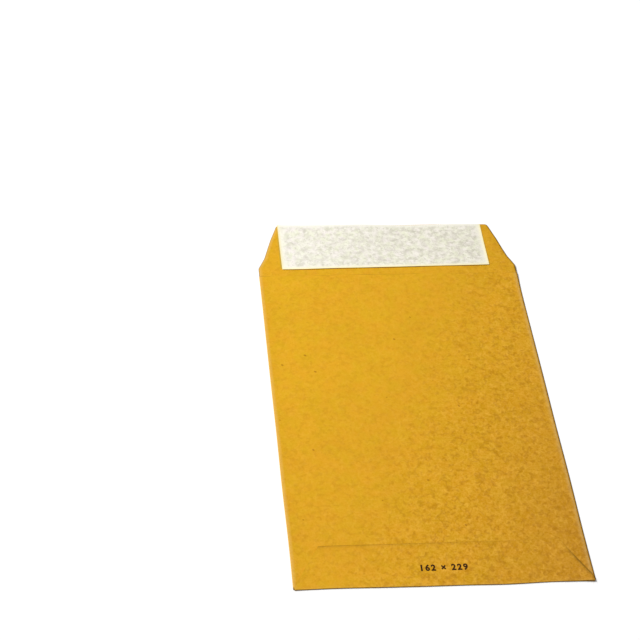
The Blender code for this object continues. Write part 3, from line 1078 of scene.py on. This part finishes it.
def manila_wear_and_shade(tree, sheet, colour, formation, grain):
    """Wear with painted highlight, faded places, and painted shade with dirt over the kraft's colour, and the
    painted shadow lines beside the liner and the slant.
    """
    # Wear with painted highlight
    worn_and_highlit = times(tree, attribute(tree, "worn_and_highlit"), around(tree, grain, *WEAR_AND_HIGHLIGHT_STRENGTH, CORE_SPAN))
    colour = mixed(tree, worn_and_highlit, colour, MANILA_WORN_HIGHLIGHT)
    faded = times(tree, attribute(tree, "faded"), around(tree, formation, *FADED_STRENGTH, CORE_SPAN))
    colour = mixed(tree, faded, colour, MANILA_FADED)
    # Painted shade and shadow lines, with dirt on cut edges
    shaded_and_soiled = times(tree, attribute(tree, "shade_and_soil"), around(tree, formation, *SHADE_AND_SOIL_STRENGTH, CORE_SPAN))
    colour = mixed(tree, shaded_and_soiled, colour, MANILA_SHADE_AND_DIRT)

    # Painted shadow line beside the liner's left edge, stronger lower down
    low_end = (liner_low.x, liner_low.y)
    high_end = (liner_low.x - LINER_LEAN - LINER_SPREAD, liner_high.y)
    beside_liner = on_line(tree, sheet, "LESS_THAN", low_end, high_end, LINER_SHADOW)
    colour = mixed(tree, beside_liner, colour, MANILA_LINE_SHADOW)

    # Painted shadow line on the back panel beside the glued flap's right slant
    back_middle = 2 * LEFT_FOLD - SIDE_FOLD_ARC
    low_end = (back_middle - BOTTOM_FLAP_HALF, BOTTOM_EDGE + BOTTOM_FLAP_STRAIGHT)
    high_end = (back_middle - HALF_WIDTH + BOTTOM_FLAP_END_INSET, BOTTOM_FLAP_TOP)
    beside_slant = on_line(tree, sheet, "GREATER_THAN", low_end, high_end, SLANT_SHADOW)
    return mixed(tree, beside_slant, colour, MANILA_SHADE_AND_DIRT)


def on_line(tree, sheet, face, low_end, high_end, strengths):
    """How near a straight line on one face of the sheet, from its lower to its upper end, fading sideways."""
    x, y, z = axes(tree, sheet)
    line_x = remap(tree, y, low_end[1], high_end[1], low_end[0], high_end[0])
    distance = distance_between(tree, x, line_x)
    near_line = remap(tree, distance, LINE_SHADOW_WIDTH, LINE_SHADOW_WIDTH + LINE_SHADOW_FADE, 1.0, 0.0)
    strength = remap(tree, y, low_end[1], high_end[1], *strengths)
    above = math_node(tree, "GREATER_THAN", y, low_end[1])
    below = math_node(tree, "LESS_THAN", y, high_end[1])
    on_face = math_node(tree, face, z, OTHER_FACE / 2)
    return times(tree, times(tree, near_line, strength), times(tree, on_face, times(tree, above, below)))


def liner_material():
    """Siliconised paper: mottled where the adhesive holds it, plain white along its margins, with painted
    shade darker towards the right.
    """
    made, tree, shader, place = new_material("silicone_release_paper")
    sheet = attribute(tree, "sheet_place", "Vector")
    x, _, _ = axes(tree, place)
    mottle = noise(tree, turned_and_scaled(tree, sheet, 0.3, (0.8, 1.0, 1.0)), MOTTLE_SIZE, 3.0, 0.6)
    fine = noise(tree, sheet, FINE_SIZE, 2.0)

    colour = mixed(tree, attribute(tree, "stuck"), LINER_WHITE, held_liner(tree, sheet, x, mottle))
    colour = mixed(tree, attribute(tree, "rim"), colour, LINER_RIM)
    colour = scaled_by(tree, colour, around(tree, fine, 1 - FINE_STRENGTH, 1 + FINE_STRENGTH))
    # Painted shade: the liner darker towards the right, where the light falls off
    rightward = remap(tree, x, -HALF_WIDTH, HALF_WIDTH)
    colour = mixed(tree, 1.0, colour, mixed(tree, rightward, LINER_LEFT_PAINTED_LIGHT, LINER_RIGHT_PAINTED_SHADE), "MULTIPLY")
    plug(tree, colour, shader.inputs["Base Color"])
    plug(tree, around(tree, mottle, *LINER_ROUGHNESS), shader.inputs["Roughness"])
    shader.inputs["Specular IOR Level"].default_value = LINER_SPECULAR
    bump(tree, shader, [(mottle, MOTTLE_DEPTH), (fine, FINE_DEPTH)])
    return made


def held_liner(tree, sheet, x, mottle):
    """The liner's colour where the adhesive holds it: tinted clouds, grey patches and curly strokes."""
    cloud = noise(tree, sheet, LINER_CLOUD_SIZE, 2.0)
    blotch = noise(tree, turned_and_scaled(tree, sheet, 1.1), BLOTCH_SIZE, 2.0)
    patch = noise(tree, turned_and_scaled(tree, sheet, 2.3), PATCH_SIZE, 1.0)
    tint = mixed(tree, remap(tree, blotch, 0.40, 0.60), LINER_LILAC, LINER_GREEN)
    held = mixed(tree, around(tree, cloud, 0.45, 0.90, CORE_SPAN), LINER_WHITE, tint)
    held = mixed(tree, remap(tree, patch, 0.48, 0.72, 0.0, PATCH_STRENGTH), held, LINER_SHADE)
    least_at = HALF_WIDTH * STUCK_LEAST_AT
    most_at = HALF_WIDTH * STUCK_MOST_AT
    stuck_more = remap(tree, x, least_at, most_at, STUCK_LEAST, STUCK_MOST)
    mottled = times(tree, remap(tree, mottle, 0.44, 0.75, 0.0, MOTTLE_STRENGTH), stuck_more)
    held = mixed(tree, mottled, held, LINER_SHADE)
    white = strokes(tree, sheet, WHITE_STROKE_SIZE, WHITE_STROKE_PLACE, LINER_STROKE_WIDTH)
    shade = strokes(tree, sheet, SHADE_STROKE_SIZE, SHADE_STROKE_PLACE, LINER_STROKE_WIDTH)
    held = mixed(tree, times(tree, white, WHITE_STROKE_STRENGTH), held, LINER_WHITE)
    return mixed(tree, times(tree, shade, SHADE_STROKE_STRENGTH), held, LINER_SHADE)


def glue_material():
    """Clear adhesive, drawn out in fine streaks."""
    made, tree, shader, place = new_material("clear_adhesive")
    streak = noise(tree, turned_and_scaled(tree, place, 0.0, STREAK_SCALE), STREAK_SIZE, 2.0)
    shade = tuple(STREAK_SHADE * part for part in GLUE)
    plug(tree, mixed(tree, streak, GLUE, shade), shader.inputs["Base Color"])
    shader.inputs["Roughness"].default_value = GLUE_ROUGHNESS
    bump(tree, shader, [(streak, STREAK_DEPTH)])
    return made


def ink_material():
    """Dark ink that lets the paper show where it is thin."""
    made, tree, shader, place = new_material("printing_ink")
    thin = remap(tree, noise(tree, place, INK_WEAR_SIZE, 2.0), 0.5, 0.75, 0.0, INK_WEAR)
    plug(tree, mixed(tree, thin, INK, MANILA_FLECK), shader.inputs["Base Color"])
    shader.inputs["Roughness"].default_value = INK_ROUGHNESS
    shader.inputs["Specular IOR Level"].default_value = INK_SPECULAR
    return made


def dress(obj, made, cad_node=None):
    """Gives a piece its material, attaches it to the body that it rides on, and hides the frame's part that
    it stands for.
    """
    obj.data.materials.append(made)
    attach(obj, BODY)
    if cad_node:
        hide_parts(cad_node)


def add_camera():
    """The camera at the photograph's angle, rolled as it was."""
    forward = Vector((
        math.sin(VIEW_AZIMUTH) * math.cos(VIEW_ELEVATION),
        math.cos(VIEW_AZIMUTH) * math.cos(VIEW_ELEVATION),
        -math.sin(VIEW_ELEVATION),
    ))
    level = Vector((math.cos(VIEW_AZIMUTH), -math.sin(VIEW_AZIMUTH), 0))
    above = level.cross(forward)
    right = level * math.cos(VIEW_ROLL) + above * math.sin(VIEW_ROLL)
    up = above * math.cos(VIEW_ROLL) - level * math.sin(VIEW_ROLL)
    data = bpy.data.cameras.new("camera")
    data.lens = LENS
    data.sensor_width = SENSOR_WIDTH
    data.clip_start = CLIP_START
    data.clip_end = CLIP_END
    camera = bpy.data.objects.new("camera", data)
    turn = Matrix((right, up, -forward)).transposed().to_4x4()
    camera.matrix_world = Matrix.Translation(VIEW_TARGET - forward * VIEW_DISTANCE) @ turn
    bpy.context.scene.collection.objects.link(camera)
    bpy.context.scene.camera = camera


def add_fill(name, place, size, power):
    """A soft rectangular light that shines on the origin."""
    data = bpy.data.lights.new(name, "AREA")
    data.shape = "RECTANGLE"
    data.size, data.size_y = size
    data.energy = power
    light = bpy.data.objects.new(name, data)
    light.location = place
    light.rotation_euler = (-Vector(place)).to_track_quat("-Z", "Y").to_euler()
    bpy.context.scene.collection.objects.link(light)


def add_sun(name, direction, strength, angle):
    """A distant soft light that comes from this direction."""
    data = bpy.data.lights.new(name, "SUN")
    data.energy = strength
    data.angle = angle
    light = bpy.data.objects.new(name, data)
    light.rotation_euler = (-Vector(direction)).to_track_quat("-Z", "Y").to_euler()
    bpy.context.scene.collection.objects.link(light)


def add_studio():
    """The world's even light, a soft key from the left, a small fill, and the pale floor."""
    scene = bpy.context.scene
    scene.view_settings.view_transform = "Standard"
    world = bpy.data.worlds.new("studio")
    world.use_nodes = True
    background = world.node_tree.nodes["Background"]
    background.inputs["Color"].default_value = (1, 1, 1, 1)
    background.inputs["Strength"].default_value = WORLD_STRENGTH
    scene.world = world
    add_sun("key", KEY_FROM, KEY_STRENGTH, KEY_SPREAD)
    add_fill("left_fill", FILL_PLACE, FILL_SIZE, FILL_POWER)

    mesh = bpy.data.meshes.new("floor")
    half = FLOOR_HALF
    corners = [(-half, -half, 0), (half, -half, 0), (half, half, 0), (-half, half, 0)]
    mesh.from_pydata(corners, [], [(0, 1, 2, 3)])
    floor = bpy.data.objects.new("floor", mesh)
    scene.collection.objects.link(floor)
    made, tree, shader, place = new_material("pale_floor")
    shader.inputs["Base Color"].default_value = rgba(FLOOR)
    shader.inputs["Roughness"].default_value = FLOOR_ROUGHNESS
    mesh.materials.append(made)


add_camera()
dress(folded_paper(), manila_material(), "folded_blank")
dress(adhesive(), glue_material(), "adhesive_strip")
dress(liner(), liner_material(), "release_liner")
dress(numerals(), ink_material())
add_studio()
